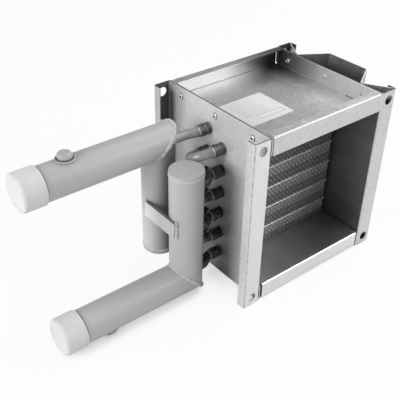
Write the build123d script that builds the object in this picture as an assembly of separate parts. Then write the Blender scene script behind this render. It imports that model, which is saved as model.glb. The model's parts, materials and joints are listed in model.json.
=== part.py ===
from build123d import *
import os
from math import cos, pi, sqrt

# Duct water heating coil: a short duct section with a two-row tube-and-fin coil
# across it, and two steel headers with pipes outside its left panel.
# Frame: origin at the centre of the front flange, X right, Y with the air, Z up.
# All sizes are millimetres.

# Casing of folded sheet
duct_width = 150.0
duct_height = 150.0
case_length = 150.0
sheet = 1.0
fold_inside = 1.0
flange = 20.0
bottom_flange = 18.0
lip = 10.0
corner_hole_radius = 5.0
corner_hole_inset = 10.0

# Trays that close the top and the bottom between the side panels
tray_gap = 0.4
top_slit = 1.2
bottom_slit = 2.6
relief_radius = 1.2
upturn_end_gap = 0.3
upturn_edge_gap = 0.4

# Blind rivets through side panel and tray
rivet_first = 24.0
rivet_last = 20.0
rivet_count = 3
rivet_radius = 1.6
rivet_hole_gap = 0.1
rivet_head_radius = 3.4
rivet_head_top_radius = 1.9
rivet_head_height = 1.1
rivet_tail_radius = 2.4
rivet_tail_length = 1.8

# Cover over the return bends on the right
cover_valley = 30.0
cover_peak = 49.0
cover_reach = 32.0
cover_foot_gap = 0.25

# Tubes
tube_radius = 4.76
tube_wall = 0.5
tube_pitch = 25.0
row_pitch = 22.0
hairpin_leg_out = 6.0
panel_hole_gap = 0.3

# Bell socket at each left end of a hairpin
bell_radius = 5.5
bell_length = 10.0
bell_end = 13.5
socket_depth = 8.0
socket_gap = 0.04

# Cross bends and stubs on the left
cross_leg = 16.0
stub_straight = 4.0
stub_shift_length = 8.0
stub_fillet = 12.0
stub_hole_gap = 0.1
stub_into_bore = 1.0

# Fins
fin_depth = 44.0
fin_thickness = 0.4
fin_pitch = 12.0
fin_end_gap = 2.5
fin_tray_gap = 0.3
fin_collar_gap = 0.05
fin_hole_sides = 6

# Headers and pipes; the headers stand behind the crowns of the cross bends
pipe_radius = 16.85
pipe_wall = 3.25
rear_header_behind = 24.35
front_header_behind = 21.35
rear_header_y = 97.0
front_header_y = 56.0
rear_stub_entry = 9.0
upper_pipe_z = 66.0
lower_pipe_z = -71.5
pipe_length = 144.5
rear_header_bottom = -53.0
front_header_top = 51.5
disc_thickness = 3.0

# Thread and cap at each pipe end
thread_depth = 0.23
thread_length = 20.0
cap_wall = 1.25
cap_face = 1.5
cap_skirt = 21.0
cap_gap = 0.3
cap_end_gap = 0.5
cap_chamfer = 1.2

# Strap across the two headers
strap_thickness = 3.0
strap_height = 17.0
strap_z = -1.5
strap_fall = 6.0
strap_front_overhang = 5.0
strap_rear_overhang = -3.0

# Vent plug on the upper pipe and drain plug under the lower one, alike
vent_out = 97.0
drain_out = 92.0
boss_radius = 8.6
boss_height = 0.9
seal_radius = 7.8
seal_thickness = 0.6
plug_hex = 13.0
plug_head_height = 5.0
plug_head_taper = 8.0
plug_thread_radius = 4.8
plug_thread_length = 8.0
thread_gap = 0.08

# Rating label on the top tray, from the left wall and from the front
label_width = 56.0
label_depth = 51.0
label_thickness = 0.2
label_left = 25.0
label_front = 52.0

# Planes and places that follow from these sizes
half_width = duct_width / 2
half_height = duct_height / 2
mid = sheet / 2
fold_mid = fold_inside + mid
panel_face = half_width + sheet
panel_top = half_height + flange
upturn_x = half_width - tray_gap - mid
mid_y = case_length / 2

rivet_z = half_height + flange / 2
rivet_step = (case_length - rivet_first - rivet_last) / (rivet_count - 1)
rivet_places = [
    (rivet_first + i * rivet_step, z) for i in range(rivet_count) for z in (rivet_z, -rivet_z)
]

circuits = int(duct_height / tube_pitch / 2)
top_row_z = (circuits - 0.5) * tube_pitch
front_row_y = mid_y - row_pitch / 2
rear_row_y = mid_y + row_pitch / 2
front_zs = [top_row_z - tube_pitch / 4 - i * tube_pitch for i in range(2 * circuits)]
rear_zs = [z + tube_pitch / 2 for z in front_zs]
tube_places = [(front_row_y, z) for z in front_zs] + [(rear_row_y, z) for z in rear_zs]

bell_end_x = -(panel_face + bell_end)
socket_x = bell_end_x + socket_depth
cross_radius = sqrt(row_pitch**2 + (tube_pitch / 2) ** 2) / 2
crown_x = -(panel_face + cross_leg + cross_radius)

bore_radius = pipe_radius - pipe_wall
rear_header_x = crown_x - rear_header_behind
front_header_x = crown_x - front_header_behind
upper_end_x = rear_header_x - pipe_length
lower_end_x = front_header_x - pipe_length
vent_x = rear_header_x - vent_out
drain_x = front_header_x - drain_out
boss_seat = pipe_radius + boss_height
head_seat = boss_seat + seal_thickness
thread_hole_radius = plug_thread_radius + thread_gap

low = (Align.CENTER, Align.CENTER, Align.MIN)


def rod(radius, start, end):
    """Round bar between two points."""
    line = Vector(*end) - Vector(*start)
    return Plane(origin=start, z_dir=line) * Cylinder(radius, line.length, align=low)


def rod_x(radius, start_x, end_x, y, z):
    """Round bar along X."""
    return rod(radius, (start_x, y, z), (end_x, y, z))


def rod_z(radius, x, y, start_z, end_z):
    """Round bar along Z."""
    return rod(radius, (x, y, start_z), (x, y, end_z))


def folded_sheet(points, plane, length):
    """Sheet folded along points, which follow its middle, pulled along the plane's normal."""
    line = FilletPolyline(*points, radius=fold_mid)
    return extrude(plane * trace(line, sheet), length)


def swept_bar(path, radius):
    """Round bar along a path."""
    return sweep(Plane(origin=path @ 0, z_dir=path % 0) * Circle(radius), path=path)


def drill_rivet_holes(shape, side):
    """Holes for the rivets of one side, through panel and tray wall alike."""
    inner = side * (upturn_x - sheet)
    outer = side * (panel_face + sheet)
    for y, z in rivet_places:
        shape -= rod_x(rivet_radius + rivet_hole_gap, inner, outer, y, z)
    return shape


def side_panel(side):
    """Channel with flanges and return lips; side is 1 on the right, -1 on the left."""
    wall = side * (half_width + mid)
    edge = side * (half_width + flange - mid)
    front_half = [(edge, lip), (edge, mid), (wall, mid)]
    back_half = [(x, case_length - y) for x, y in reversed(front_half)]
    panel = folded_sheet(front_half + back_half, Plane.XY.offset(-panel_top), 2 * panel_top)
    hole_x = side * (half_width + flange - corner_hole_inset)
    hole_z = panel_top - corner_hole_inset
    for z in (hole_z, -hole_z):
        panel -= rod(corner_hole_radius, (hole_x, 0, z), (hole_x, case_length, z))
    for y, z in tube_places:
        hole = rod_x(tube_radius + panel_hole_gap, side * half_width, side * panel_face, y, z)
        panel -= hole
    return drill_rivet_holes(panel, side)


def tray(flange_height, slit):
    """Tray that closes the top: plate, upstands with lips, side upturns, slit corners."""
    main_half = upturn_x - mid - slit
    plate_z = half_height + mid
    lip_z = half_height + flange_height - mid
    front_half = [(lip, lip_z), (mid, lip_z), (mid, plate_z)]
    back_half = [(case_length - y, z) for y, z in reversed(front_half)]
    body = folded_sheet(front_half + back_half, Plane.YZ.offset(-main_half), 2 * main_half)
    fold_end = sheet + relief_radius
    fold_top = plate_z + fold_mid
    wall_height = half_height + flange_height - upturn_edge_gap - fold_top
    wall = Box(sheet, case_length - 2 * upturn_end_gap, wall_height, align=low)
    for side in (1, -1):
        turn = [(0, plate_z), (side * upturn_x, plate_z), (side * upturn_x, fold_top + sheet)]
        body += folded_sheet(turn, Plane.XZ.offset(fold_end - case_length), case_length - 2 * fold_end)
        body += Pos(side * upturn_x, mid_y, fold_top) * wall
        slit_x = side * (main_half + slit / 2)
        for y in (fold_end, case_length - fold_end):
            body -= rod_z(relief_radius, slit_x, y, half_height, half_height + sheet)
        body = drill_rivet_holes(body, side)
    return body


def rivet(side):
    """Blind rivet on the X axis: head on the panel, tail inside the tray wall."""
    tail_seat = upturn_x - mid
    tail_end = tail_seat - rivet_tail_length
    head_end = panel_face + rivet_head_height
    profile = [
        (tail_end, 0),
        (tail_end, rivet_tail_radius),
        (tail_seat, rivet_tail_radius),
        (tail_seat, rivet_radius),
        (panel_face, rivet_radius),
        (panel_face, rivet_head_radius),
        (head_end, rivet_head_top_radius),
        (head_end, 0),
    ]
    outline = make_face(Polyline(*[(side * x, r) for x, r in profile], close=True))
    return revolve(outline, axis=Axis.X)


def panel_rivets(side):
    """All rivets of one side panel, as separate solids."""
    shape = rivet(side)
    return Compound(children=[Pos(0, y, z) * shape for y, z in rivet_places])


def return_bend_cover():
    """Sheet in an M shape, its feet sprung into the corners of the right panel's flanges."""
    foot_x = half_width + flange - sheet - fold_inside + cover_foot_gap
    foot_y = sheet + fold_inside - cover_foot_gap
    peak_x = panel_face + cover_reach - mid
    front_half = [(foot_x, foot_y), (panel_face, cover_valley), (peak_x, cover_peak)]
    back_half = [(x, case_length - y) for x, y in reversed(front_half)]
    return folded_sheet(front_half + back_half, Plane.XY.offset(-panel_top), 2 * panel_top)


def rating_label():
    """Bare label on the top tray."""
    plate = Box(label_width, label_depth, label_thickness, align=(Align.MIN, Align.MIN, Align.MIN))
    return Pos(label_left - half_width, label_front, half_height + sheet) * plate


def hairpin(y, high_z, low_z):
    """Tube with a return bend on the right and a bell socket on each left end."""
    bend_x = panel_face + hairpin_leg_out
    radius = (high_z - low_z) / 2
    path = Wire([
        Line((bell_end_x, y, high_z), (bend_x, y, high_z)).edge(),
        ThreePointArc((bend_x, y, high_z), (bend_x + radius, y, high_z - radius), (bend_x, y, low_z)).edge(),
        Line((bend_x, y, low_z), (bell_end_x, y, low_z)).edge(),
    ])
    body = swept_bar(path, tube_radius)
    for z in (high_z, low_z):
        body += rod_x(bell_radius, bell_end_x, bell_end_x + bell_length, y, z)
        body -= rod_x(tube_radius + socket_gap, bell_end_x, socket_x, y, z)
        body -= rod_x(tube_radius - tube_wall, socket_x, bend_x, y, z)
    return body


def cross_bend(front_z, rear_z):
    """Bend on the left that joins a front tube to a rear tube."""
    bend_x = crown_x + cross_radius
    middle = (crown_x, mid_y, (front_z + rear_z) / 2)
    front_turn = (bend_x, front_row_y, front_z)
    rear_turn = (bend_x, rear_row_y, rear_z)
    path = Wire([
        Line((socket_x, front_row_y, front_z), front_turn).edge(),
        ThreePointArc(front_turn, middle, rear_turn).edge(),
        Line(rear_turn, (socket_x, rear_row_y, rear_z)).edge(),
    ])
    return swept_bar(path, tube_radius)


def stub(row_y, z, entry_y, header_x, header_y):
    """Short tube from a socket into a header, shifted sideways on its way."""
    shift_x = bell_end_x - stub_straight
    inner_x = header_x + sqrt(bore_radius**2 - (header_y - entry_y) ** 2)
    points = [
        (socket_x, row_y, z),
        (shift_x, row_y, z),
        (shift_x - stub_shift_length, entry_y, z),
        (inner_x - stub_into_bore, entry_y, z),
    ]
    return swept_bar(FilletPolyline(*points, radius=stub_fillet), tube_radius)


def fin_pack():
    """Fins across the duct, separate plates threaded on the tubes between the trays."""
    fin = Plane.YZ * (Pos(mid_y, 0) * Rectangle(fin_depth, duct_height - 2 * fin_tray_gap))
    hole_radius = (tube_radius + fin_collar_gap) / cos(pi / fin_hole_sides)
    for y, z in tube_places:
        fin -= Plane.YZ * (Pos(y, z) * RegularPolygon(hole_radius, fin_hole_sides))
    plate = extrude(fin, fin_thickness)
    count = int((duct_width - 2 * fin_end_gap) / fin_pitch) + 1
    first_x = -((count - 1) * fin_pitch + fin_thickness) / 2
    return Compound(children=[Pos(first_x + i * fin_pitch, 0, 0) * plate for i in range(count)])


def header(x, y, closed_z, corner_z, entry_y, stub_zs):
    """Upright pipe: a disc closes one end, the other is mitred, stubs enter its side."""
    turn = 1 if corner_z > closed_z else -1
    far_z = corner_z + turn * pipe_radius
    body = rod_z(pipe_radius, x, y, closed_z, far_z) - rod_z(bore_radius, x, y, closed_z, far_z)
    mitre = Plane(origin=(x, y, corner_z), z_dir=(-1, 0, turn))
    body = split(body, bisect_by=mitre, keep=Keep.BOTTOM)
    for z in stub_zs:
        body -= rod_x(tube_radius + stub_hole_gap, x, x + pipe_radius, entry_y, z)
    return body


def level_pipe(x, y, z, end_x, plug_x, turn):
    """Pipe along -X from its mitre to its thread; turn is 1 where the header hangs below."""
    thread_x = end_x + thread_length
    corner_x = x + pipe_radius
    body = rod_x(pipe_radius, thread_x, corner_x, y, z)
    body += rod_x(pipe_radius - thread_depth, end_x, thread_x, y, z)
    body -= rod_x(bore_radius, end_x, corner_x, y, z)
    body -= rod_z(thread_hole_radius, plug_x, y, z, z + turn * boss_seat)
    mitre = Plane(origin=(x, y, z), z_dir=(-1, 0, turn))
    return split(body, bisect_by=mitre, keep=Keep.TOP)


def boss(x, y, z, turn):
    """Ring welded on a level pipe, cut to its round back; turn is 1 on top and -1 below."""
    seat_z = z + turn * boss_seat
    body = rod_z(boss_radius, x, y, z, seat_z)
    body -= rod_x(pipe_radius, x - boss_radius, x + boss_radius, y, z)
    return body - rod_z(thread_hole_radius, x, y, z, seat_z)


def seal(x, y, z, turn):
    """Flat ring between a boss and the head of its plug."""
    ends = (z + turn * boss_seat, z + turn * head_seat)
    return rod_z(seal_radius, x, y, *ends) - rod_z(thread_hole_radius, x, y, *ends)


def plug(x, y, z, turn):
    """Plug with a tapered hexagon head and a round thread."""
    hexagon = RegularPolygon(plug_hex / 2, 6, major_radius=False)
    body = extrude(hexagon, plug_head_height, taper=plug_head_taper)
    body += rod_z(plug_thread_radius, 0, 0, -(seal_thickness + plug_thread_length), 0)
    return Pos(x, y, z + turn * head_seat) * Rot(90 - 90 * turn, 0, 0) * body


def thread_cap(end_x, y, z):
    """Plastic cap over a pipe's thread, open toward +X."""
    inner = pipe_radius + cap_gap
    floor_x = end_x - cap_end_gap
    rim_x = floor_x + cap_skirt
    body = rod_x(inner + cap_wall, floor_x - cap_face, rim_x, y, z)
    body = chamfer(body.edges().group_by(Axis.X)[0], cap_chamfer)
    return body - rod_x(inner, floor_x, rim_x, y, z)


def header_strap():
    """Flat bar welded across both headers on the side away from the duct, falling to the front."""
    front = Vector(front_header_x, front_header_y)
    across = Vector(rear_header_x, rear_header_y) - front
    along = across.normalized()
    middle = front + across / 2 + Vector(-along.Y, along.X) * pipe_radius
    place = Plane(origin=(middle.X, middle.Y, strap_z), x_dir=along, z_dir=(0, 0, 1))
    start = -across.length / 2 - strap_front_overhang
    length = across.length + strap_front_overhang + strap_rear_overhang
    bar = Box(length, strap_thickness, strap_height, align=(Align.MIN, Align.MIN, Align.CENTER))
    return place * Rot(0, -strap_fall, 0) * Pos(start, 0, 0) * bar


def casing_pieces():
    """Folded sheet pieces, their rivets and the label."""
    return {
        "left_side_panel": side_panel(-1),
        "right_side_panel": side_panel(1),
        "top_tray": tray(flange, top_slit),
        "bottom_tray": mirror(tray(bottom_flange, bottom_slit), about=Plane.XY),
        "left_panel_rivets": panel_rivets(-1),
        "right_panel_rivets": panel_rivets(1),
        "return_bend_cover": return_bend_cover(),
        "rating_label": rating_label(),
    }


def coil_pieces():
    """Tubes of every circuit from header to header, and the fins on them."""
    pieces = {"fin_pack": fin_pack()}
    for i in range(circuits):
        front_high, front_low = front_zs[2 * i : 2 * i + 2]
        rear_high, rear_low = rear_zs[2 * i : 2 * i + 2]
        rear_entry_y = rear_header_y - rear_stub_entry
        number = i + 1
        pieces[f"front_hairpin_{number}"] = hairpin(front_row_y, front_high, front_low)
        pieces[f"rear_hairpin_{number}"] = hairpin(rear_row_y, rear_high, rear_low)
        pieces[f"cross_bend_{number}"] = cross_bend(front_high, rear_low)
        pieces[f"front_stub_{number}"] = stub(
            front_row_y, front_low, front_header_y, front_header_x, front_header_y
        )
        pieces[f"rear_stub_{number}"] = stub(
            rear_row_y, rear_high, rear_entry_y, rear_header_x, rear_header_y
        )
    return pieces


def header_pieces():
    """Headers with their discs, level pipes, strap and caps."""
    rear_entry_y = rear_header_y - rear_stub_entry
    rear = (rear_header_x, rear_header_y)
    front = (front_header_x, front_header_y)
    upper = (*rear, upper_pipe_z)
    lower = (*front, lower_pipe_z)
    return {
        "rear_header": header(*rear, rear_header_bottom, upper_pipe_z, rear_entry_y, rear_zs[0::2]),
        "front_header": header(*front, front_header_top, lower_pipe_z, front_header_y, front_zs[1::2]),
        "rear_header_disc": rod_z(
            pipe_radius, *rear, rear_header_bottom - disc_thickness, rear_header_bottom
        ),
        "front_header_disc": rod_z(
            pipe_radius, *front, front_header_top, front_header_top + disc_thickness
        ),
        "upper_pipe": level_pipe(*upper, upper_end_x, vent_x, 1),
        "lower_pipe": level_pipe(*lower, lower_end_x, drain_x, -1),
        "header_strap": header_strap(),
        "upper_thread_cap": thread_cap(upper_end_x, rear_header_y, upper_pipe_z),
        "lower_thread_cap": thread_cap(lower_end_x, front_header_y, lower_pipe_z),
    }


def plug_pieces(name, x, y, z, turn):
    """Boss, seal and plug on one level pipe."""
    return {
        f"{name}_boss": boss(x, y, z, turn),
        f"{name}_seal": seal(x, y, z, turn),
        f"{name}_plug": plug(x, y, z, turn),
    }


pieces = casing_pieces() | coil_pieces() | header_pieces()
pieces |= plug_pieces("vent", vent_x, rear_header_y, upper_pipe_z, 1)
pieces |= plug_pieces("drain", drain_x, front_header_y, lower_pipe_z, -1)
os.makedirs("parts", exist_ok=True)
for node, shape in pieces.items():
    export_step(shape, f"parts/{node}.step")
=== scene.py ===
import json
from math import cos, pi, radians, sin, sqrt, tan

import bpy
import bmesh
from mathutils import Matrix, Vector


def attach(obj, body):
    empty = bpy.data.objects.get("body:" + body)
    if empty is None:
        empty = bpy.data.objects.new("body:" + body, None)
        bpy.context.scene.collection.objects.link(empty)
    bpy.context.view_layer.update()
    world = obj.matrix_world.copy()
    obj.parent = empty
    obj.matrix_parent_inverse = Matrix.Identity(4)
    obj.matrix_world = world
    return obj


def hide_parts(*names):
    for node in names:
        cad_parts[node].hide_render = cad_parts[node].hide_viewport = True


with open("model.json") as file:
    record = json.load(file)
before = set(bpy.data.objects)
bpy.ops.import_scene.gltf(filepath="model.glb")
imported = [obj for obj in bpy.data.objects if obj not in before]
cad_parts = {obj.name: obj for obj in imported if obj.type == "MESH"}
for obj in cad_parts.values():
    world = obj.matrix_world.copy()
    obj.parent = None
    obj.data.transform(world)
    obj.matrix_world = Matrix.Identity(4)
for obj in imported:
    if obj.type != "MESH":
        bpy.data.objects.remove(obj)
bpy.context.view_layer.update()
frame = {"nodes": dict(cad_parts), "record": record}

# Looks of the duct water heating coil. Sizes are in millimetres, and are turned into metres
# where a mesh or a finish is made.
MM = 0.001

# Casing
panel_face = 76.0
tray_wall = 73.6
case_length = 150.0
half_duct = 75.0
flange_reach = 95.0
sheet_thickness = 1.0
fin_tray_gap = 0.3

# Rivets through panel and tray
rivet_ys = (24.0, 77.0, 130.0)
rivet_zs = (85.0, -85.0)
rivet_head = 3.4
# The hollow's radius and the rim's width set where a rivet's painted shade lies.
rivet_hollow = 1.2
rivet_rim_shade = 0.35

# Tube rows
front_row_y = 64.0
rear_row_y = 86.0
tube_pitch = 25.0
front_zs = [56.25 - tube_pitch * i for i in range(6)]
rear_zs = [68.75 - tube_pitch * i for i in range(6)]
tube_places = [(front_row_y, z) for z in front_zs] + [(rear_row_y, z) for z in rear_zs]
tube_radius = 4.76
bell_radius = 5.5
bell_end = -89.5

# Label on the top tray
label_middle = (-22.0, 77.5)
label_rule_pitch = 4.2
label_rule_half_width = 0.25
label_line = 0.6
label_text = (-6.0, 6.0, 16.0, 15.0)
label_field = (6.0, -15.0, 16.0, 4.0)

# Headers and level pipes
pipe_radius = 16.85
pipe_thread_pitch = 2.309
pipe_thread_foot = 16.55
pipe_thread_ridge = 0.2
rear_header = (-129.0, 97.0)
front_header = (-126.0, 56.0)
upper_pipe_z = 66.0
lower_pipe_z = -71.5
rear_header_bottom = -53.0
front_header_top = 51.5
upper_end = -273.5
lower_end = -270.5
rear_entry_y = 88.0
vent_x = -226.0
drain_x = -218.0
strap_z = -1.5
strap_height = 17.0
strap_fall = 6.0

# Vent and drain plugs
boss_seat = 17.75
head_seat = 18.35
plug_width = 13.0
plug_head = 5.0
plug_taper = 8.0
plug_thread = 4.8
plug_thread_length = 8.6
plug_pitch = 0.907
plug_ridge = 0.38

# Fins
fin_front = 53.0
fin_back = 97.0
fin_sheet_thickness = 0.22
fin_gap = 2.68
fin_pairs = 27
fin_first_x = -72.0
ripple_height = 1.05
ripples_per_pitch = 4
steps_per_ripple = 8
tab_depth = 2.2
tab_thickness = 0.45
tab_drop = 0.35
tab_nose = 0.3

# How far the points of a face or of a cut edge may lie from its plane, for tones by position
face_skin = 0.05
edge_skin = 0.03


# Node trees

class Signal:
    """A socket that takes part in sums; each sum adds its Math node."""

    def __init__(self, bench, socket):
        self.bench = bench
        self.socket = socket

    def __add__(self, other):
        return self.bench.math("ADD", self, other)

    def __radd__(self, other):
        return self.bench.math("ADD", other, self)

    def __sub__(self, other):
        return self.bench.math("SUBTRACT", self, other)

    def __rsub__(self, other):
        return self.bench.math("SUBTRACT", other, self)

    def __mul__(self, other):
        return self.bench.math("MULTIPLY", self, other)

    def __gt__(self, other):
        return self.bench.math("GREATER_THAN", self, other)

    def __lt__(self, other):
        return self.bench.math("LESS_THAN", self, other)


class Bench:
    """Places nodes in one tree and links them."""

    def __init__(self, tree):
        self.tree = tree

    def node(self, kind, settings=None, values=None, output=0):
        made = self.tree.nodes.new(kind)
        for name, setting in (settings or {}).items():
            if name == "stops":
                self.set_stops(made.color_ramp, setting)
            else:
                setattr(made, name, setting)
        for name, value in (values or {}).items():
            if isinstance(value, Signal):
                self.tree.links.new(value.socket, made.inputs[name])
            else:
                made.inputs[name].default_value = value
        return Signal(self, made.outputs[output]) if made.outputs else made

    def math(self, operation, *terms):
        return self.node("ShaderNodeMath", {"operation": operation}, dict(enumerate(terms)))

    def set_stops(self, ramp, stops):
        while len(ramp.elements) < len(stops):
            ramp.elements.new(1.0)
        for element, (place, level) in zip(ramp.elements, stops):
            element.position = place
            element.color = grey(level)


class Finish(Bench):
    """A surface finish under construction."""

    def __init__(self, name):
        self.material = bpy.data.materials.new(name)
        self.material.use_nodes = True
        super().__init__(self.material.node_tree)
        self.tree.nodes.clear()
        self.place = self.node("ShaderNodeTexCoord", output="Object")

    def stretched(self, x, y, z):
        """Object coordinates scaled by axis, so that a pattern runs along one of them."""
        return self.node("ShaderNodeMapping", {"vector_type": "POINT"}, {0: self.place, "Scale": (x, y, z)})

    def noise(self, scale, detail, place=None):
        """Smooth random level; the scale is per metre."""
        values = {"Vector": place or self.place, "Scale": scale, "Detail": detail}
        return self.node("ShaderNodeTexNoise", None, values)

    def cells(self, scale):
        """One random level for each cell; the scale is per metre."""
        colour = self.node("ShaderNodeTexVoronoi", None, {"Vector": self.place, "Scale": scale}, "Color")
        return self.node("ShaderNodeSeparateColor", None, {0: colour})

    def axis(self, letter):
        """One of the object coordinates, in metres."""
        return self.node("ShaderNodeSeparateXYZ", None, {0: self.place}, letter)

    def within(self, level, middle, reach):
        """1 where a level is within reach of a middle value in millimetres, else 0."""
        return self.math("COMPARE", level, middle * MM, reach * MM)

    def size_of(self, level):
        return self.math("ABSOLUTE", level)

    def from_middle(self):
        """Distance along the air from the middle of the casing, in metres."""
        return self.size_of(self.axis("Y") - case_length / 2 * MM)

    def ramp(self, factor, stops):
        return self.node("ShaderNodeValToRGB", {"stops": stops}, {0: factor})

    def mix(self, factor, first, second):
        return self.node("ShaderNodeMix", {"data_type": "RGBA"}, {0: factor, 6: first, 7: second}, 2)

    def height(self, level, distance, strength):
        """Bump from a level; the distance is in millimetres."""
        values = {"Height": level, "Distance": distance * MM, "Strength": strength}
        return self.node("ShaderNodeBump", None, values)

    def close(self, **values):
        """The surface shader with plain values set on its own sockets."""
        values = {name.replace("_", " "): value for name, value in values.items()}
        surface = self.node("ShaderNodeBsdfPrincipled", None, values)
        self.node("ShaderNodeOutputMaterial", None, {"Surface": surface})
        return self.material


def grey(level):
    return (level, level, level, 1.0)


# Marks: painted light and shade by position, laid over a sheet's own tone

def channel_painted_shade(f, base):
    """Painted shade inside the channels that a panel's flanges and lips form."""
    root, rim = 1.5, 0.8
    across = f.size_of(f.axis("X"))
    channel = (across > (panel_face + root) * MM) * (across < (flange_reach - rim) * MM)
    channel = channel * (f.from_middle() < (case_length / 2 - rim) * MM)
    return f.mix(channel * 0.85, base, grey(0.08))


def tube_side_painted_shade_and_light(f, base):
    """Painted shade round the low tubes and toward the back, a slit at the foot painted black as shade,
    painted light on the flange's front face, and a dark broken line along the fold at the lip.
    """
    slit_inset, slit_start = 0.2, 0.3
    lip_fold_inset, lip_fold_reach = 0.6, 0.22
    across, depth = f.size_of(f.axis("X")), f.axis("Y")
    # Painted shade beside the tubes low down, and toward the back.
    beside = f.ramp(f.from_middle() * 10.0, [(0.2, 1.0), (0.6, 0.0)])
    low = f.ramp(f.axis("Z") * 5.0 + 0.5, [(0.35, 1.0), (0.75, 0.0)])
    corner = f.ramp(depth * 5.0, [(0.6, 0.0), (0.74, 1.0)])
    base = f.mix(beside * low * 0.55 + corner * 0.35, base, grey(0.08))
    # Painted shade: the slit at the foot is black.
    slit = (across < (panel_face - slit_inset) * MM) * (f.axis("Z") < -panel_face * MM)
    base = f.mix(slit * (depth > slit_start * MM), base, grey(0.02))
    # Painted light: the front face is paler.
    base = f.mix((depth < face_skin * MM) * 0.4, base, grey(1.0))
    # A dark line, broken by noise, along the fold at the lip.
    fold = f.within(across, flange_reach - lip_fold_inset, lip_fold_reach) * (depth < sheet_thickness * MM)
    broken_line = f.ramp(f.noise(160.0, 3.0), [(0.4, 0.25), (0.62, 0.9)])
    return f.mix(fold * broken_line, base, grey(0.12))


def duct_painted_shade(f, base):
    """Painted shade on the faces inside the duct, darker to the right and broken into streaks."""
    front_fold = 1.2
    across, rise = f.size_of(f.axis("X")), f.size_of(f.axis("Z"))
    inside = (across < (half_duct + edge_skin) * MM) * (rise < (half_duct + 2 * sheet_thickness) * MM)
    streaks = f.noise(40.0, 3.0, f.stretched(1.0, 0.2, 1.0))
    # Painted shade, deeper toward the right.
    shade_film = f.ramp(f.axis("X") * 6.0 + 0.5, [(0.05, 0.12), (0.6, 0.58)]) + streaks * 0.4 - 0.2
    return f.mix(inside * (f.axis("Y") > front_fold * MM) * shade_film, base, grey(0.1))


def tray_painted_shade_and_highlights(f, base):
    """Painted shade and highlights on a tray: dark lines in its folds but a bright painted highlight in the
    right one, a painted highlight along the right upturn's top, and painted shade at its back right.
    """
    wall_reach, fold_rise, fold_reach = 0.45, 1.1, 0.4
    lit_from, upturn_inset = 45.0, 0.8
    ends = f.within(f.from_middle(), case_length / 2 - sheet_thickness, wall_reach)
    sides = f.within(f.size_of(f.axis("X")), tray_wall, wall_reach)
    # Painted shade in the folds of the ends and sides, with a painted highlight in the right side's fold
    # toward the back.
    fold = f.within(f.axis("Z"), half_duct + fold_rise, fold_reach) * (ends + sides > 0.5)
    lit = sides * (f.axis("X") > 0.0) * (f.axis("Y") > lit_from * MM)
    base = f.mix(fold, base, f.mix(lit, grey(0.05), grey(0.95)))
    # Painted highlight along the top of the right upturn, fading toward the back.
    upturn = f.axis("X") > (tray_wall - upturn_inset) * MM
    upturn = upturn * (f.axis("Z") > (half_duct + 2 * sheet_thickness) * MM)
    base = f.mix(upturn * f.ramp(f.axis("Y") * 6.0, [(0.4, 1.0), (0.9, 0.0)]), base, grey(1.0))
    # Painted shade and reflection: darker at the back right.
    behind = f.ramp(f.axis("Y") * 6.0, [(0.5, 0.0), (0.82, 1.0)])
    rightward = f.ramp(f.axis("X") * 6.0 + 0.5, [(0.5, 0.05), (0.85, 0.85)])
    return f.mix(behind * rightward, base, grey(0.05))


# Finishes

def galvanised_sheet(name="galvanised_sheet", metal_share=0.9, dullness=0.24, pale=0.74,
                     marks=(), painted_edge_tone=None, dimmed_fold=0.0):
    """Zinc-coated sheet: small crystals, cloudy tone, fine rolling lines, a few dark nicks.

    Marks add painted light and shade by position. The edge tone, when given, is painted on the cut top edge:
    a dark one stands in for the edge's shade, a pale one for its highlight. The fold width, when given, is
    the width of a strip along the top front fold painted darker, to dim its highlight, and made rougher.
    """
    f = Finish(name)
    crystals = f.cells(420.0)
    clouds = f.noise(22.0, 4.0)
    rolling = f.noise(5.0, 3.0, f.stretched(14.0, 14.0, 160.0))
    tone = crystals * 0.30 + clouds * 0.45 + rolling * 0.25
    nicks = (f.noise(420.0, 3.0, f.stretched(1.0, 1.0, 2.6)) > 0.71) * (f.noise(60.0, 1.0) > 0.52)
    metal = f.mix(tone, grey(pale - 0.26), grey(pale))
    base = f.mix(nicks * 0.55, metal, grey(0.12))
    roughness = dullness + crystals * 0.08 + clouds * 0.16
    for mark in marks:
        base = mark(f, base)
    # Painted light and shade on the cut top edge.
    if painted_edge_tone is not None:
        base = f.mix(f.axis("Z") > (flange_reach - edge_skin) * MM, base, grey(painted_edge_tone))
    # Painted shade: a darker strip along the top front fold dims its highlight.
    if dimmed_fold:
        dimmed = (f.axis("Y") < dimmed_fold * MM) * (f.axis("Z") > (flange_reach - dimmed_fold) * MM)
        base = f.mix(dimmed * 0.5, base, grey(0.4))
        roughness = roughness + dimmed * 0.15
    bumps = f.height(crystals * 0.35 + f.noise(1300.0, 2.0) * 0.3, 0.03, 0.6)
    return f.close(Base_Color=base, Metallic=metal_share, Roughness=roughness, Normal=bumps)


def painted_pipe():
    """Grey paint over welded steel pipe, satin, with a slight orange peel and dust."""
    f = Finish("painted_pipe")
    clouds = f.noise(30.0, 4.0)
    dust = f.noise(1500.0, 2.0)
    base = f.mix(clouds * 0.75 + dust * 0.25, grey(0.385), grey(0.485))
    roughness = 0.36 + clouds * 0.16
    bumps = f.height(f.noise(700.0, 2.0), 0.035, 0.5)
    return f.close(Base_Color=base, Metallic=0.0, Roughness=roughness, Normal=bumps, Coat_Weight=0.08)


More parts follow.
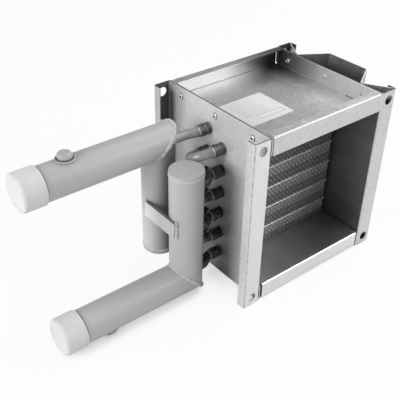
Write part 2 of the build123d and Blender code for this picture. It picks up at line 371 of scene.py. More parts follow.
def dull_copper():
    """Tube metal left bare near the panel: dark, blotched by the brazing heat, paler at the top."""
    f = Finish("dull_copper")
    blotches = f.noise(260.0, 4.0)
    base = f.mix(f.ramp(blotches, [(0.3, 0.0), (0.7, 1.0)]), grey(0.03), grey(0.16))
    paler_share = f.ramp(f.axis("Z") * 5.0 + 0.5, [(0.68, 0.0), (0.75, 1.0)])
    base = f.mix(paler_share * 0.2, base, grey(0.42))
    roughness = 0.28 + blotches * 0.2
    bumps = f.height(f.noise(900.0, 2.0), 0.04, 0.5)
    return f.close(Base_Color=base, Metallic=0.75, Roughness=roughness, Normal=bumps)


def sprayed_tube():
    """Tube with the header's paint on it, blotched."""
    f = Finish("sprayed_tube")
    blotches = f.noise(120.0, 3.0)
    base = f.mix(blotches, grey(0.26), grey(0.40))
    roughness = 0.30 + blotches * 0.18
    bumps = f.height(f.noise(800.0, 2.0), 0.03, 0.5)
    return f.close(Base_Color=base, Metallic=0.15, Roughness=roughness, Normal=bumps)


def header_paint():
    """The pipe's paint on the rear header, with painted shade: darker on the side toward the panel and the
    front header.
    """
    f = Finish("header_paint")
    clouds = f.noise(30.0, 4.0)
    x, y = rear_header
    # Direction toward the side that is painted darker, as shade.
    shaded_side_x, shaded_side_y = 0.775, -0.632
    shade = (f.axis("X") - x * MM) * shaded_side_x + (f.axis("Y") - y * MM) * shaded_side_y
    # Painted shade: the coat darkens across the header toward that side.
    painted_coat_shade = f.ramp(shade * 20.0 + 0.5, [(0.2, 0.62), (0.38, 0.52), (0.5, 0.40), (0.64, 0.21), (0.8, 0.10)])
    base = f.mix(clouds * 0.25, painted_coat_shade, grey(0.4))
    bumps = f.height(f.noise(700.0, 2.0), 0.035, 0.5)
    return f.close(Base_Color=base, Roughness=0.36 + clouds * 0.16, Normal=bumps)


def strap_paint():
    """The header's paint on the flat strap, with painted light toward the rear and painted shade on its top
    edge.
    """
    f = Finish("strap_paint")
    clouds = f.noise(30.0, 4.0)
    # Painted light: paler toward the rear.
    lighter_rear = f.ramp(f.axis("Y") * 10.0, [(0.7, 0.0), (0.95, 1.0)])
    base = f.mix(lighter_rear * 0.8 + clouds * 0.2, grey(0.40), grey(0.9))
    # Painted shade: the top edge is dark.
    middle = (f.axis("Y") - (front_header[1] + rear_header[1]) / 2 * MM) * tan(radians(strap_fall))
    edge = f.axis("Z") - middle > (strap_z + strap_height / 2 - face_skin) * MM
    base = f.mix(edge, base, grey(0.18))
    return f.close(Base_Color=base, Roughness=0.36 + clouds * 0.16)


def weld_bead():
    """Painted weld metal with a grainy tone."""
    f = Finish("weld_bead")
    grain = f.noise(900.0, 3.0)
    base = f.mix(grain, grey(0.42), grey(0.56))
    return f.close(Base_Color=base, Roughness=0.26 + grain * 0.1, Normal=f.height(grain, 0.05, 0.5))


def braze_ring():
    """Pale solder at the mouth of each socket."""
    f = Finish("braze_ring")
    grain = f.noise(600.0, 3.0)
    base = f.mix(grain, grey(0.24), grey(0.42))
    bumps = f.height(grain, 0.05, 0.5)
    return f.close(Base_Color=base, Metallic=0.4, Roughness=0.34 + grain * 0.2, Normal=bumps)


def fin_sheet():
    """Thin mill-finish sheet with dust, painted lighter on the left of the pack, with painted light and shade
    in bands at the tubes' pitch.

    A painted highlight lies on its cut front edges where a ripple turns them up, and on the noses of the
    tabs.
    """
    f = Finish("fin_sheet")
    dust = f.noise(80.0, 4.0)
    base = f.mix(dust, grey(0.36), grey(0.56))
    # Painted light: the fins on the left of the pack are paler.
    base = f.mix(f.ramp(f.axis("X") * 6.0 + 0.5, [(0.1, 0.9), (0.6, 0.0)]), base, grey(0.95))
    drop = (rear_zs[0] * MM - f.axis("Z")) * (1 / tube_pitch / MM)
    # Painted light and shade in bands: paler just below each row of tabs, darker between.
    painted_band = f.ramp(f.math("FRACT", drop), [(0.38, 1.0), (0.55, 0.0), (0.95, 0.0)])
    base = f.mix(painted_band, f.mix(0.3, base, grey(0.1)), f.mix(0.2, base, grey(0.9)))
    # Painted highlight on the cut front edges where a ripple turns them up, weaker between the bands.
    turn = (f.axis("Z") - rear_zs[0] * MM) * (2 * pi * ripples_per_pitch / tube_pitch / MM)
    crest = f.math("SINE", turn) * 0.5 + 0.5
    depth = f.axis("Y")
    edge_depth = 0.6
    edge = (depth < (fin_front + edge_depth) * MM) * f.ramp(crest, [(0.25, 0.0), (0.6, 1.0)])
    edge = edge * (painted_band * 0.6 + 0.4)
    # Painted highlight on the noses of the tabs too.
    painted_shine = f.math("MAXIMUM", edge, depth < (fin_front - face_skin) * MM)
    base = f.mix(painted_shine, base, grey(0.92))
    return f.close(Base_Color=base, Metallic=0.45, Roughness=0.32 + dust * 0.2)


def rivet_zinc():
    """Bright tumbled zinc, with painted shade: black in the hollow of the pulled pin and dark round the
    head's rim.
    """
    f = Finish("rivet_zinc")
    wear = f.noise(700.0, 3.0)
    step = (rivet_ys[1] - rivet_ys[0]) * MM
    along = f.math("WRAP", f.axis("Y") - rivet_ys[0] * MM, step / 2, -step / 2)
    rise = f.size_of(f.axis("Z")) - rivet_zs[0] * MM
    reach = along * along + rise * rise
    # Painted shade in the pin's hollow and round the head's rim.
    hollow = reach < (rivet_hollow * MM) ** 2
    rim_shade = reach > ((rivet_head - rivet_rim_shade) * MM) ** 2
    base = f.mix(hollow + rim_shade * 0.8, f.mix(wear, grey(0.60), grey(0.78)), grey(0.03))
    bumps = f.height(wear, 0.03, 0.4)
    return f.close(Base_Color=base, Metallic=0.5, Roughness=0.34 + wear * 0.15, Normal=bumps)


def cap_plastic():
    """Milky plastic, slightly scuffed."""
    f = Finish("cap_plastic")
    milk = f.noise(45.0, 3.0)
    scuffs = f.noise(260.0, 3.0, f.stretched(0.35, 1.0, 1.0))
    base = f.mix(milk * 0.6 + scuffs * 0.4, grey(0.57), grey(0.73))
    roughness = 0.40 + scuffs * 0.2
    bumps = f.height(scuffs, 0.05, 0.4)
    return f.close(Base_Color=base, Roughness=roughness, Normal=bumps, Subsurface_Weight=0.25,
                   Subsurface_Radius=(0.003, 0.003, 0.003))


def label_paper():
    """Coated paper with faint fibres: no words, only a form's plain rules and one empty field."""
    f = Finish("label_paper")
    fibres = f.noise(900.0, 3.0, f.stretched(1.0, 0.4, 1.0))
    creases = f.noise(50.0, 2.0)
    paper = f.mix(fibres * 0.5 + creases * 0.5, grey(0.72), grey(0.82))
    across = f.axis("X") - label_middle[0] * MM
    along = f.axis("Y") - label_middle[1] * MM

    def block(x, y, half_width, half_length, inset=0.0):
        """1 in a rectangle about a point measured from the label's middle."""
        beside = f.size_of(across - x * MM) < (half_width - inset) * MM
        return beside * (f.size_of(along - y * MM) < (half_length - inset) * MM)

    row = f.math("PINGPONG", along, 0.5 * label_rule_pitch * MM)
    rules = (row < label_rule_half_width * MM) * block(*label_text)
    field = block(*label_field) - block(*label_field, label_line)
    base = f.mix((rules + field) * 0.7, paper, grey(0.12))
    return f.close(Base_Color=base, Roughness=0.42 + fibres * 0.1, Normal=f.height(creases, 0.08, 0.5))


def bare_thread():
    """Dark cut steel of a pipe thread; on the collar at each cap's rim its dark is painted shade."""
    f = Finish("bare_thread")
    grain = f.noise(800.0, 2.0)
    base = f.mix(grain, grey(0.03), grey(0.10))
    return f.close(Base_Color=base, Metallic=0.5, Roughness=0.4 + grain * 0.1)


def seal_fibre():
    """Pressed fibre ring."""
    f = Finish("seal_fibre")
    fibres = f.noise(1200.0, 4.0)
    base = f.mix(fibres, grey(0.05), grey(0.16))
    return f.close(Base_Color=base, Roughness=0.75 + fibres * 0.1, Normal=f.height(fibres, 0.06, 0.7))


def plug_zinc():
    """Zinc-plated plug, pitted and half covered by the pipe's paint."""
    f = Finish("plug_zinc")
    paler_share = f.noise(110.0, 3.0)
    base = f.mix(paler_share, grey(0.42), grey(0.54))
    pits = f.noise(1100.0, 3.0)
    base = f.mix((pits < 0.4) * 0.35, base, grey(0.2))
    bumps = f.height(pits, 0.12, 0.8)
    return f.close(Base_Color=base, Metallic=0.3, Roughness=0.5 + paler_share * 0.15, Normal=bumps)


def floor_white():
    """Pale floor: white where the camera, a gloss or a glass looks at it, with the shadow kept."""
    f = Finish("floor_white")
    ray = f.node("ShaderNodeLightPath", output="Is Camera Ray")
    glossy = f.node("ShaderNodeLightPath", output="Is Glossy Ray")
    through = f.node("ShaderNodeLightPath", output="Is Transmission Ray")
    near = f.node("ShaderNodeAmbientOcclusion", {"samples": 8}, {"Distance": 0.05}, "AO")
    wide = f.node("ShaderNodeAmbientOcclusion", {"samples": 8}, {"Distance": 0.35}, "AO")
    seen = ray * 0.92 * f.ramp(near, [(0.1, 0.0), (0.45, 1.0)])
    shown = (glossy + through) * f.ramp(wide, [(0.3, 0.0), (0.8, 1.0)])
    matt = f.node("ShaderNodeBsdfDiffuse", None, {"Color": grey(0.75)})
    glow = f.node("ShaderNodeEmission", None, {"Color": grey(1.0), "Strength": 1.0})
    surface = f.node("ShaderNodeMixShader", None, {0: seen + shown, 1: matt, 2: glow})
    f.node("ShaderNodeOutputMaterial", None, {"Surface": surface})
    return f.material


finishes = {
    "galvanised_steel": galvanised_sheet(),
    # Left side panel: painted shade in its channels and round the tubes, painted light on its front face, and
    # its top edge painted dark as shade.
    "sooty_panel": galvanised_sheet("sooty_panel", 0.6, 0.5, 0.82, (channel_painted_shade, tube_side_painted_shade_and_light), 0.05),
    # Right side panel: painted shade in its channels and inside the duct, and its top edge painted dark as
    # shade.
    "dusty_panel": galvanised_sheet("dusty_panel", 0.9, 0.28, 0.74, (channel_painted_shade, duct_painted_shade), 0.05),
    # Bottom tray: painted shade inside the duct.
    "dusty_tray": galvanised_sheet("dusty_tray", 0.9, 0.24, 0.92, (duct_painted_shade,)),
    # Return bend cover: a darker copy of the sheet, painted shade for its place in the right channel, with a
    # painted highlight on its top edge.
    "dark_cover": galvanised_sheet("dark_cover", 0.9, 0.3, 0.52, painted_edge_tone=0.9),
    # Top tray: painted shade and highlights in its folds and at its back, and a strip along its front fold
    # painted darker to dim its highlight.
    "folded_tray": galvanised_sheet("folded_tray", 0.88, 0.24, 0.74, (tray_painted_shade_and_highlights,), dimmed_fold=1.9),
    "painted_pipe": painted_pipe(),
    "header_paint": header_paint(),
    "strap_paint": strap_paint(),
    "copper_tube": dull_copper(),
    "sprayed_tube": sprayed_tube(),
    "weld_bead": weld_bead(),
    "braze_ring": braze_ring(),
    "fin_aluminium": fin_sheet(),
    "zinc_rivet": rivet_zinc(),
    "cap_plastic": cap_plastic(),
    "label": label_paper(),
    "seal_fibre": seal_fibre(),
    "bare_thread": bare_thread(),
    "plug_steel": plug_zinc(),
}


# Meshes

def mesh_from(name, points, faces, sharp=35.0):
    """Mesh in metres from points in millimetres, with its faces turned outward."""
    mesh = bpy.data.meshes.new(name)
    mesh.from_pydata([Vector(p) * MM for p in points], [], faces)
    shape = bmesh.new()
    shape.from_mesh(mesh)
    bmesh.ops.recalc_face_normals(shape, faces=shape.faces)
    shape.to_mesh(mesh)
    shape.free()
    mesh.polygons.foreach_set("use_smooth", [True] * len(mesh.polygons))
    mesh.set_sharp_from_angle(angle=radians(sharp))
    return mesh


def turned(name, profile, count, radius_at=None, sharp=35.0):
    """Mesh turned round Z. The profile is (height, radius) and closes at radius 0."""
    points, faces, rows = [], [], []
    for height, radius in profile:
        if radius == 0:
            rows.append([len(points)])
            points.append((0, 0, height))
            continue
        rows.append(list(range(len(points), len(points) + count)))
        for i in range(count):
            turn = 2 * pi * i / count
            r = radius_at(height, radius, turn) if radius_at else radius
            points.append((r * cos(turn), r * sin(turn), height))
    ring = profile[0][1] != 0
    pairs = list(zip(rows, rows[1:])) + ([(rows[-1], rows[0])] if ring else [])
    for low, high in pairs:
        for i in range(count):
            j = (i + 1) % count
            if len(low) == 1:
                faces.append((low[0], high[j], high[i]))
            elif len(high) == 1:
                faces.append((low[i], low[j], high[0]))
            else:
                faces.append((low[i], low[j], high[j], high[i]))
    return mesh_from(name, points, faces, sharp)


def placed(mesh, along, place):
    """Turns a mesh's Z axis to a direction and moves it; the place is in millimetres."""
    turn = Vector((0, 0, 1)).rotation_difference(Vector(along)).to_matrix().to_4x4()
    mesh.transform(Matrix.Translation(Vector(place) * MM) @ turn)
    return mesh


def piece(name, mesh, body, slot, finish=None, replaces=()):
    """Shows a mesh as a piece that rides on a body."""
    made = bpy.data.objects.new(name, mesh)
    bpy.context.scene.collection.objects.link(made)
    mesh.materials.clear()
    mesh.materials.append(finishes[finish or slot])
    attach(made, body)
    if replaces:
        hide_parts(*replaces)
    return made


# Geometry trees for what repeats

class Pattern(Bench):
    """A geometry tree under construction, with named inputs and a finish for the result."""

    def __init__(self, name, inputs):
        super().__init__(bpy.data.node_groups.new(name, "GeometryNodeTree"))
        face = self.tree.interface
        face.new_socket("Geometry", in_out="OUTPUT", socket_type="NodeSocketGeometry")
        face.new_socket("Geometry", in_out="INPUT", socket_type="NodeSocketGeometry")
        for label, kind in inputs.items():
            face.new_socket(label, in_out="INPUT", socket_type="NodeSocket" + kind)
        face.new_socket("Finish", in_out="INPUT", socket_type="NodeSocketMaterial")

    def given(self, label):
        return self.node("NodeGroupInput", output=label)

    def close(self, instances):
        plain = self.node("GeometryNodeRealizeInstances", None, {"Geometry": instances})
        coated = self.node("GeometryNodeSetMaterial", None,
                           {"Geometry": plain, "Material": self.given("Finish")})
        self.node("NodeGroupOutput", None, {"Geometry": coated})
        return self.tree


def copies_in_a_row():
    """A piece repeated at an even step."""
    p = Pattern("copies_in_a_row", {"Piece": "Object", "Count": "Int", "Start": "Vector", "Step": "Vector"})
    line = p.node("GeometryNodeMeshLine", {"mode": "OFFSET"},
                  {"Count": p.given("Count"), "Start Location": p.given("Start"), "Offset": p.given("Step")})
    shape = p.node("GeometryNodeObjectInfo", None, {"Object": p.given("Piece")}, "Geometry")
    return p.close(p.node("GeometryNodeInstanceOnPoints", None, {"Points": line, "Instance": shape}))


def copies_at_places():
    """A piece at each point of the base mesh."""
    p = Pattern("copies_at_places", {"Piece": "Object"})
    shape = p.node("GeometryNodeObjectInfo", None, {"Object": p.given("Piece")}, "Geometry")
    return p.close(p.node("GeometryNodeInstanceOnPoints", None,
                          {"Points": p.given("Geometry"), "Instance": shape}))


def beads_along_a_line():
    """Drops of uneven size strewn along the lines of the base mesh."""
    p = Pattern("beads_along_a_line", {
        "Piece": "Object", "Spacing": "Float", "Smallest": "Float", "Largest": "Float", "Seed": "Int",
    })
    line = p.node("GeometryNodeMeshToCurve", None, {"Mesh": p.given("Geometry")})
    steps = p.node("GeometryNodeResampleCurve", {"mode": "LENGTH"},
                   {"Curve": line, "Length": p.given("Spacing")})
    dots = p.node("GeometryNodeCurveToPoints", {"mode": "EVALUATED"}, {"Curve": steps})
    size = p.node("FunctionNodeRandomValue", {"data_type": "FLOAT"},
                  {2: p.given("Smallest"), 3: p.given("Largest"), "Seed": p.given("Seed")}, 1)
    shape = p.node("GeometryNodeObjectInfo", None, {"Object": p.given("Piece")}, "Geometry")
    return p.close(p.node("GeometryNodeInstanceOnPoints", None,
                          {"Points": dots, "Instance": shape, "Scale": size}))


def grown(name, tree, base, shape, body, slot, finish=None, replaces=(), **sizes):
    """Runs a geometry tree over a base mesh and keeps the result as a plain mesh."""
    carrier = bpy.data.objects.new(name, base)
    model = bpy.data.objects.new(name + "_model", shape)
    bpy.context.scene.collection.objects.link(carrier)
    modifier = carrier.modifiers.new(name, "NODES")
    modifier.node_group = tree
    values = {"Piece": model, "Finish": finishes[finish or slot], **sizes}
    for socket in tree.interface.items_tree:
        if socket.in_out == "INPUT" and socket.name in values:
            modifier[socket.identifier] = values[socket.name]
    bpy.context.view_layer.update()
    seen = carrier.evaluated_get(bpy.context.evaluated_depsgraph_get())
    mesh = bpy.data.meshes.new_from_object(seen)
    bpy.data.objects.remove(carrier)
    bpy.data.objects.remove(model)
    return piece(name, mesh, body, slot, finish, replaces)


def dots(name, places):
    """Mesh of single points."""
    mesh = bpy.data.meshes.new(name)
    mesh.from_pydata([Vector(p) * MM for p in places], [], [])
    return mesh


def line_through(name, lines):
    """Mesh of open or closed lines; each is (points, closed)."""
    points, edges = [], []
    for places, closed in lines:
        first = len(points)
        points += [Vector(p) * MM for p in places]
        edges += [(first + i, first + i + 1) for i in range(len(places) - 1)]
        if closed:
            edges.append((first + len(places) - 1, first))
    mesh = bpy.data.meshes.new(name)
    mesh.from_pydata(points, edges, [])
    return mesh


row_tree = copies_in_a_row()
place_tree = copies_at_places()
bead_tree = beads_along_a_line()


# Fins

def rippled_fin(side):
    """One fin: a sheet rippled up its height, with spacing tabs halfway between the front tubes."""
    top = half_duct - fin_tray_gap
    ripple = tube_pitch / ripples_per_pitch
    count = int(2 * top / ripple * steps_per_ripple)
    points, faces = [], []
    for i in range(count + 1):
        z = top - 2 * top * i / count
        x = side * ripple_height * sin(2 * pi * (z - rear_zs[0]) / ripple)
        for dx, y in ((-0.5, fin_front), (0.5, fin_front), (0.5, fin_back), (-0.5, fin_back)):
            points.append((x + dx * fin_sheet_thickness, y, z))
    for i in range(count):
        a, b = 4 * i, 4 * (i + 1)
        for j in range(4):
            k = (j + 1) % 4
            faces.append((a + j, a + k, b + k, b + j))
    faces.append((0, 1, 2, 3))
    faces.append(tuple(4 * count + j for j in (3, 2, 1, 0)))
    for z in rear_zs[1:]:
        for y, turn in ((fin_front, 1), (fin_back, -1)):
            base = len(points)
            nose, tail = y - turn * tab_nose, y + turn * tab_depth
            outline = [(y, z), (nose, z - tab_drop), (y, z - tab_thickness), (tail, z)]
            for x in (0, fin_gap):
                points += [(x, py, pz) for py, pz in outline]
            for j in range(4):
                k = (j + 1) % 4
                faces.append((base + j, base + k, base + 4 + k, base + 4 + j))
            faces.append(tuple(base + j for j in (3, 2, 1, 0)))
            faces.append(tuple(base + 4 + j for j in range(4)))
    return points, faces


def fins():
    """Fins at a close pitch; each pair mirrors its ripples."""
    first_points, first_faces = rippled_fin(1)
    second_points, second_faces = rippled_fin(-1)
    shift = len(first_points)
    points = first_points + [(x + fin_gap, y, z) for x, y, z in second_points]
    faces = first_faces + [tuple(shift + i for i in face) for face in second_faces]
    pair = mesh_from("fin_pair", points, faces, 60.0)
    grown("fins", row_tree, dots("fin_start", [(0, 0, 0)]), pair, "coil", "fin_aluminium",
          replaces=["fin_pack"], Count=fin_pairs, Start=Vector((fin_first_x, 0, 0)) * MM,
          Step=Vector((2 * fin_gap, 0, 0)) * MM)


# Rivets

def rivets():
    """Blind rivets: a low dome with the deep hollow of its pulled pin, and a bulbed hollow tail."""
    profile = [
        (tray_wall - 0.9, 0), (tray_wall - 0.9, 0.95), (tray_wall - 1.6, 1.1), (tray_wall - 1.8, 1.5),
        (tray_wall - 1.6, 2.0), (tray_wall - 1.1, 2.35), (tray_wall - 0.5, 2.4), (tray_wall, 2.1),
        (tray_wall, 1.6), (panel_face, 1.6), (panel_face, rivet_head), (panel_face + 0.5, rivet_head),
        (panel_face + 0.95, 3.05), (panel_face + 1.3, 2.4), (panel_face + 1.4, 1.8),
        (panel_face + 1.3, 1.35), (panel_face + 1.0, 1.2), (panel_face - 1.9, 1.15), (panel_face - 1.8, 0),
    ]
    places = [(0, y, z) for y in rivet_ys for z in rivet_zs]
    for side, name in ((1, "right_rivets"), (-1, "left_rivets")):
        shape = placed(turned("rivet", profile, 28), (side, 0, 0), (0, 0, 0))
        grown(name, place_tree, dots(name + "_places", places), shape, "coil", "zinc_rivet",
              replaces=[name.replace("_", "_panel_")])


# Sockets at the left ends of the hairpins

ridge_steps = (2.4, 5.0, 7.6)
collar_steps = (11.2, 12.6)


def sockets():
    """Rolled ridges and two panel collars on each bell, and a ring of braze at its mouth."""
    ridge = turned("ridge", [
        (-0.85, bell_radius - 0.4), (-0.8, bell_radius), (-0.35, bell_radius + 0.7),
        (0.35, bell_radius + 0.7), (0.8, bell_radius), (0.85, bell_radius - 0.4),
    ], 28)
    collar = turned("collar", [
        (-0.55, tube_radius - 0.3), (-0.5, tube_radius + 0.9), (-0.2, tube_radius + 1.35),
        (0.3, tube_radius + 1.35), (0.55, tube_radius + 0.9), (0.55, tube_radius - 0.3),
    ], 28)
    braze = turned("braze", [
        (-0.5, tube_radius - 0.3), (-0.7, tube_radius), (-0.4, tube_radius + 0.4), (0.0, bell_radius + 0.12),
        (0.3, bell_radius + 0.05), (0.4, bell_radius - 0.3),
    ], 28)
    for shape in (ridge, collar, braze):
        placed(shape, (1, 0, 0), (0, 0, 0))
    ridge_places = [(bell_end + step, y, z) for y, z in tube_places for step in ridge_steps]
    grown("bell_ridges", place_tree, dots("ridge_places", ridge_places), ridge, "coil", "copper_tube")
    collar_places = [(bell_end + step, y, z) for y, z in tube_places for step in collar_steps]
    grown("panel_collars", place_tree, dots("collar_places", collar_places), collar, "coil", "copper_tube")
    braze_places = [(bell_end, y, z) for y, z in tube_places]
    grown("braze_rings", place_tree, dots("braze_places", braze_places), braze, "coil", "copper_tube",
          "braze_ring")


# Welds

mitre_weld_sink = 0.9


def mitre_line(header, z, turn):
    """Line round the mitre between a header and its level pipe, a little below the surface."""
    x, y = header
    r = pipe_radius - mitre_weld_sink
    turns = [2 * pi * i / 96 for i in range(96)]
    return [(x + r * cos(t), y + r * sin(t), z + turn * r * cos(t)) for t in turns]


def stub_line(header, entry_y, z):
    """Line round a stub where it enters the header's side."""
    x, y = header
    turns = [2 * pi * i / 32 for i in range(32)]
    around = [(entry_y + tube_radius * cos(t), z + tube_radius * sin(t)) for t in turns]
    return [(x + sqrt(pipe_radius ** 2 - (py - y) ** 2), py, pz) for py, pz in around]


def weld(name, lines, spacing, smallest, largest, seed):
    """A rough weld: drops of metal strewn along its lines, in sizes from smallest to largest."""
    profile = [(-1, 0), (-0.8, 0.6), (-0.3, 0.95), (0.3, 0.95), (0.8, 0.6), (1, 0)]
    drop = turned("drop", profile, 10, sharp=80.0)
    grown(name, bead_tree, line_through(name + "_lines", lines), drop, "coil", "painted_pipe", "weld_bead",
          Spacing=spacing * MM, Smallest=smallest, Largest=largest, Seed=seed)


def joint_welds():
    """Beads over the joints of headers, pipes and stubs."""
    mitres = [
        (mitre_line(rear_header, upper_pipe_z, 1), True),
        (mitre_line(front_header, lower_pipe_z, -1), True),
    ]
    weld("mitre_welds", mitres, 1.5, 1.8, 2.8, 4)
    stubs = [(stub_line(rear_header, rear_entry_y, z), True) for z in rear_zs[0::2]]
    stubs += [(stub_line(front_header, front_header[1], z), True) for z in front_zs[1::2]]
    weld("stub_welds", stubs, 0.7, 0.8, 1.1, 9)


def disc_welds():
    """Smooth rounded weld that closes each header's end disc, with a slow waver."""
    def waver(height, radius, turn):
        return radius + 0.1 * sin(23 * turn) + 0.08 * sin(41 * turn + 1.0)

    bead, sink, steps = 1.7, 1.1, 12
    profile = []
    for i in range(steps + 1):
        turn = pi * (i / steps * 1.3 - 0.4)
        profile.append((-sink + bead * sin(turn), pipe_radius - sink + bead * cos(turn)))
    for name, header, z, up in (
        ("front_disc_weld", front_header, front_header_top, 1),
        ("rear_disc_weld", rear_header, rear_header_bottom, -1),
    ):
        bead = placed(turned(name, profile, 120, waver), (0, 0, up), (*header, z))
        piece(name, bead, "coil", "painted_pipe", "weld_bead")


def strap_welds():
    """Swaying beads across the strap's ends on the headers."""
    steps, sway_reach = 12, 0.35
    across = Vector(rear_header) - Vector(front_header)
    along = across.normalized()
    outward = Vector((-along.y, along.x))
    slope = tan(radians(strap_fall))
    lines = []
    for header, step, rise in ((front_header, -5.3, 0.9), (rear_header, -2.6, 0.0)):
        foot = Vector(header) + outward * (sqrt(pipe_radius ** 2 - step ** 2) + rise) + along * step
        middle = strap_z + slope * ((foot - Vector(front_header)).dot(along) - across.length / 2)
        places = []
        for i in range(steps + 1):
            sway = along * sway_reach * sin(2.2 * i)
            places.append((foot.x + sway.x, foot.y + sway.y, middle + strap_height * (0.5 - i / steps)))
        lines.append((places, False))
    weld("strap_welds", lines, 1.5, 1.2, 2.0, 7)


# Thread caps

cap_ribs = 84
cap_radius = 18.4
cap_floor = 2.0
cap_rib_depth = 0.22


def ribbed(height, radius, turn):
    """Skirt radius of a cap: fine ribs between its two smooth bands."""
    if radius != cap_radius or not 3.5 < height < 19.7:
        return radius
    return radius - cap_rib_depth * (0.5 + 0.5 * cos(cap_ribs * turn))


def thread_caps():
    """Plastic cups pushed over the pipe threads, with a dished face and a ribbed skirt."""
    skirt = [(h, cap_radius) for h in (3.4, 3.8, 4.4, 9.0, 14.0, 19.0, 19.6, 19.9)]
    profile = [
        (1.2, 0), (1.2, 11.0), (1.05, 12.0), (0.45, 13.0), (0.05, 13.8), (0.0, 14.4), (0.1, 15.2),
        (0.5, 16.3), (1.1, 17.2), (1.9, 17.9), (2.8, 18.3), *skirt, (20.2, 18.15), (20.6, 18.15),
        (20.9, cap_radius), (22.2, cap_radius), (22.5, 18.1), (22.5, 17.4), (22.3, 17.2), (21.5, 17.15),
        (2.4, 17.15), (cap_floor, 16.5), (cap_floor, 0),
    ]
    for name, body, end, header, z in (
        ("upper_cap_cup", "upper_cap", upper_end, rear_header, upper_pipe_z),
        ("lower_cap_cup", "lower_cap", lower_end, front_header, lower_pipe_z),
    ):
        cup = placed(turned(name, profile, 4 * cap_ribs, ribbed), (1, 0, 0), (end - cap_floor, header[1], z))
        piece(name, cup, body, "cap_plastic", replaces=[name.replace("cap_cup", "thread_cap")])


# Threads on the pipe ends

def pipe_threads():
    """Straight pipe thread under each cap, with a plain collar just past the cap's rim, dark as a painted
    shadow line there.
    """
    def ridge(height, radius, turn):
        if radius != pipe_thread_foot:
            return radius
        phase = (height / pipe_thread_pitch + turn / (2 * pi)) % 1.0
        return radius + pipe_thread_ridge * (1 - abs(2 * phase - 1))

    rows = [0.4 + 0.289 * i for i in range(66)]
    first, last = rows[0], rows[-1]
    # Painted shade: the dark collar stands in for the shadow line at the cap's rim.
    collar = [(last + 0.2, 16.97), (last + 2.3, 16.97), (last + 2.4, 16.7)]
    profile = [(h, pipe_thread_foot) for h in rows] + collar + [(last, 16.3), (first, 16.3)]
    for name, end, header, z in (
        ("upper_thread", upper_end, rear_header, upper_pipe_z),
        ("lower_thread", lower_end, front_header, lower_pipe_z),
    ):
        sleeve = placed(turned(name, profile, 72, ridge, 60.0), (1, 0, 0), (end, header[1], z))
        piece(name, sleeve, "coil", "painted_pipe", "bare_thread")


# Plugs

def hexagon_radius(width, turn):
    """Radius of a hexagon's outline in a direction, from its width across flats."""
    from_flat = (turn + pi / 6) % (pi / 3) - pi / 6
    return width / 2 / cos(from_flat)


def plug_radius(height, radius, turn):
    """Thread ridges below the seat; above it a tapered hexagon inside a rounded crown."""
    if height > 0:
        return min(hexagon_radius(plug_width - 2 * height * tan(radians(plug_taper)), turn), radius)
    if radius != plug_thread:
        return radius
    phase = (height / plug_pitch - turn / (2 * pi)) % 1.0
    return radius - plug_ridge * (1 - abs(2 * phase - 1))


def plugs():
    """Hexagon plugs on their ring bosses; each boss is undercut where it meets its pipe."""
    rows_per_turn = 6
    steps = int(plug_thread_length / plug_pitch * rows_per_turn)
    thread = [(-plug_thread_length + 0.35 + (plug_thread_length - 0.4) * i / steps, plug_thread)
              for i in range(steps + 1)]
    profile = [
        (-plug_thread_length, 0), (-plug_thread_length, 4.2), *thread, (0.0, 4.7), (0.0, 6.0),
        (0.2, 6.7), (0.6, 7.0), (2.4, 7.0), (3.4, 6.7), (4.0, 6.3), (4.5, 5.7), (4.85, 4.8),
        (plug_head, 3.6), (plug_head, 0),
    ]
    ring = [
        (-3.9, 4.95), (-3.9, 7.6), (-1.3, 7.6), (-1.25, 8.5), (-1.0, 9.0), (-0.5, 9.15),
        (-0.1, 8.95), (0.0, 8.5), (0.0, 8.1), (-0.35, 7.85), (-0.35, 4.95),
    ]
    for name, header, z, x, up in (
        ("vent", rear_header, upper_pipe_z, vent_x, 1),
        ("drain", front_header, lower_pipe_z, drain_x, -1),
    ):
        head = placed(turned(name + "_screw_plug", profile, 72, plug_radius, 28.0), (0, 0, up),
                      (x, header[1], z + up * head_seat))
        piece(name + "_screw_plug", head, name + "_screw", "plug_steel", replaces=[name + "_plug"])
        seat = placed(turned(name + "_boss_ring", ring, 48), (0, 0, up), (x, header[1], z + up * boss_seat))
        piece(name + "_boss_ring", seat, "coil", "painted_pipe", replaces=[name + "_boss"])


# Nodes that keep their own shape

special_finishes = {
    "left_side_panel": "sooty_panel",
    "right_side_panel": "dusty_panel",
    "bottom_tray": "dusty_tray",
    "top_tray": "folded_tray",
    "return_bend_cover": "dark_cover",
    "header_strap": "strap_paint",
    "rear_header": "header_paint",
    "rear_stub_1": "sprayed_tube",
    "cross_bend_1": "sprayed_tube",
}


def coat_frame():
    """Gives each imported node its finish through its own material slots."""
    for part in frame["record"]["subparts"]:
        name, finish = part["node"], part["material_slot"]
        finish = special_finishes.get(name, finish)
        for slot in frame["nodes"][name].material_slots:
            slot.link = "OBJECT"
            slot.material = finishes[finish]


# Stage

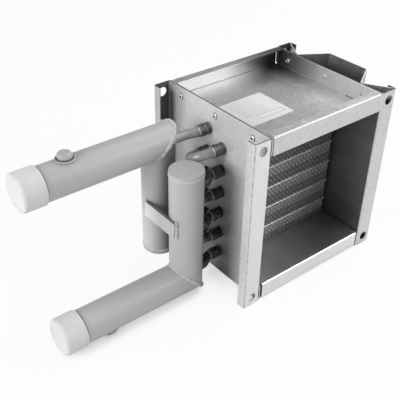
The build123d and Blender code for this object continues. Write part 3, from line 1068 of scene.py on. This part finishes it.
def photo_camera():
    """Camera at the photograph's angle; its distances and lens fit a 400 pixel frame."""
    azimuth, elevation, roll = radians(-39.21), radians(34.54), radians(1.21)
    place = Vector((-455.46, -368.27, 390.71)) * MM
    back = Vector((sin(azimuth) * cos(elevation), -cos(azimuth) * cos(elevation), sin(elevation)))
    level = (-back).cross(Vector((0, 0, 1))).normalized()
    rise = level.cross(-back)
    right = cos(roll) * level + sin(roll) * rise
    up = cos(roll) * rise - sin(roll) * level
    data = bpy.data.cameras.new("photo_camera")
    data.lens = 62.2
    data.sensor_width = 36.0
    data.clip_start = 0.01
    data.clip_end = 20.0
    camera = bpy.data.objects.new("photo_camera", data)
    bpy.context.scene.collection.objects.link(camera)
    camera.matrix_world = Matrix.Translation(place) @ Matrix((right, up, back)).transposed().to_4x4()
    bpy.context.scene.camera = camera


def softbox(name, place, aim, size, power):
    """Square soft light aimed at a point; its place, aim and size are in metres."""
    data = bpy.data.lights.new(name, "AREA")
    data.shape = "SQUARE"
    data.size = size
    data.energy = power
    lamp = bpy.data.objects.new(name, data)
    bpy.context.scene.collection.objects.link(lamp)
    away = Vector(aim) - Vector(place)
    lamp.matrix_world = Matrix.Translation(place) @ away.to_track_quat("-Z", "Y").to_matrix().to_4x4()


def studio():
    """Pale floor, white surroundings for the eye, plain soft light for the object."""
    reach, level = 4000, -flange_reach
    corners = [(-reach, -reach, level), (reach, -reach, level), (reach, reach, level), (-reach, reach, level)]
    floor = bpy.data.objects.new("floor", mesh_from("floor", corners, [(0, 1, 2, 3)]))
    floor.data.materials.append(floor_white())
    bpy.context.scene.collection.objects.link(floor)
    world = bpy.data.worlds.new("surroundings")
    world.use_nodes = True
    world.node_tree.nodes.clear()
    bench = Bench(world.node_tree)
    ray = bench.node("ShaderNodeLightPath", output="Is Camera Ray")
    soft = bench.node("ShaderNodeBackground", None, {"Color": grey(1.0), "Strength": 0.3})
    white = bench.node("ShaderNodeBackground", None, {"Color": grey(1.0), "Strength": 1.0})
    both = bench.node("ShaderNodeMixShader", None, {0: ray, 1: soft, 2: white})
    bench.node("ShaderNodeOutputWorld", None, {"Surface": both})
    bpy.context.scene.world = world
    aim = (0, 0.05, 0)
    softbox("left_softbox", (-1.49, 0.05, 0.58), aim, 0.6, 16.0)
    softbox("front_softbox", (0.97, -0.92, 0.81), aim, 1.0, 15.0)
    softbox("top_softbox", (0.96, 0.21, 1.27), aim, 1.0, 11.0)
    bpy.context.scene.view_settings.view_transform = "Standard"


photo_camera()
studio()
coat_frame()
fins()
rivets()
sockets()
joint_welds()
disc_welds()
strap_welds()
thread_caps()
pipe_threads()
plugs()
